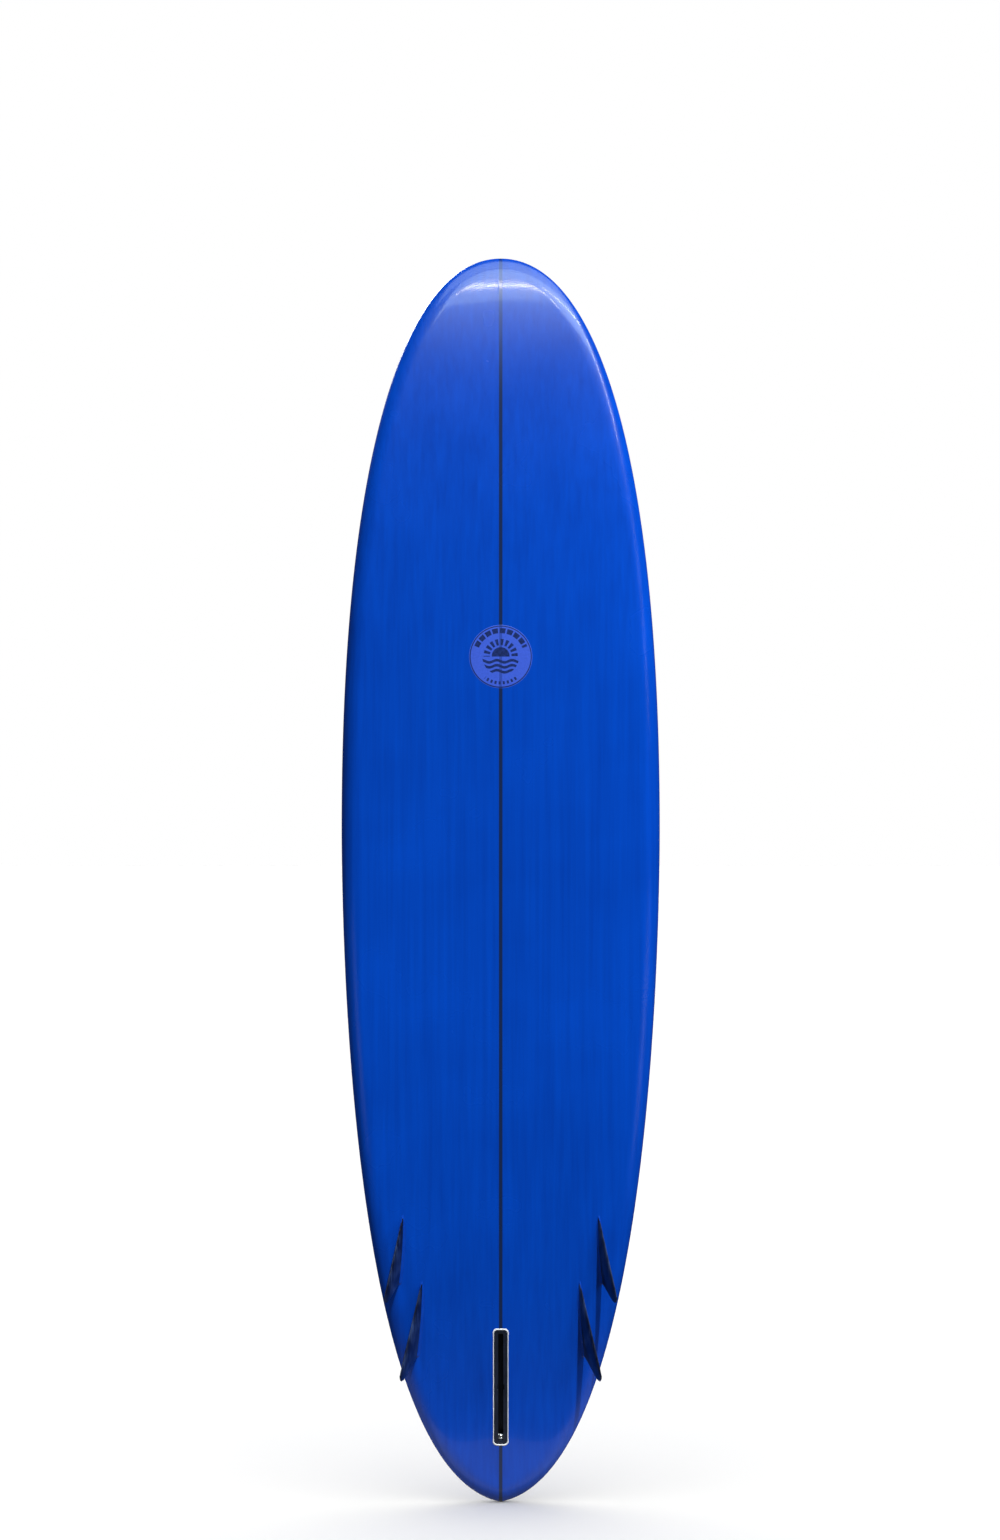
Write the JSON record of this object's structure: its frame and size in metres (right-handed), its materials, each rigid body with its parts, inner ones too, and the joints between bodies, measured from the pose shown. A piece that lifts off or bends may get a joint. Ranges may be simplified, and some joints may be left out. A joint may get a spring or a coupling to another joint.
{
  "type": "surfboard",
  "caption": "Round-nosed mid-length surfboard, foam core with stringer and tinted glass skins, low canted side fins, empty centre fin box and deck leash plug.",
  "frame": {"origin": "the rail line at the tail tip, on the centreline", "axes": "+Z from the tail tip to the nose, -Y out of the bottom (the side with the fins), +Y out of the deck, +X to the right when looking at the bottom with the nose up"},
  "size_m": [0.5536, 0.1613, 2.184],
  "materials": {
    "foam": "shaped polyurethane foam",
    "stringer_wood": "dark stained wood strip",
    "bottom_resin": "blue tinted glass-fibre laminate, sanded and polished",
    "deck_resin": "blue tinted glass-fibre laminate, sanded and polished",
    "badge_paper": "printed tissue under resin",
    "white_resin": "white pigmented resin",
    "box_nylon": "black moulded, fine grain",
    "cup_plastic": "black moulded",
    "stainless": "turned stainless steel",
    "fin_laminate": "dark navy glass laminate, sanded and glossed",
    "fillet_resin": "blue tinted resin and glass rope"
  },
  "bodies": {
    "board": {"foam_left": "foam", "foam_right": "foam", "stringer": "stringer_wood", "bottom_glass": "bottom_resin", "deck_glass": "deck_resin", "badge": "badge_paper", "fin_box_resin": "white_resin", "fin_box": "box_nylon", "leash_resin": "white_resin", "leash_cup": "cup_plastic", "leash_bar": "stainless", "front_left_fin": "fin_laminate", "front_left_fillet": "fillet_resin", "front_right_fin": "fin_laminate", "front_right_fillet": "fillet_resin", "rear_left_fin": "fin_laminate", "rear_left_fillet": "fillet_resin", "rear_right_fin": "fin_laminate", "rear_right_fillet": "fillet_resin"},
    "fin_plate": {"fin_plate": "stainless"},
    "fin_screw": {"fin_screw": "stainless"}
  },
  "joints": [
    {"name": "plate_slide", "type": "slide", "parent": "board", "child": "fin_plate", "axis": [0, -0.0862, 0.9963], "range_m": [0, 0.1794]},
    {"name": "screw_turn", "type": "hinge", "parent": "fin_plate", "child": "fin_screw", "pos_m": [0, -0.02272, 0.11623], "axis": [0, -0.9963, -0.0862], "continuous": true}
  ]
}
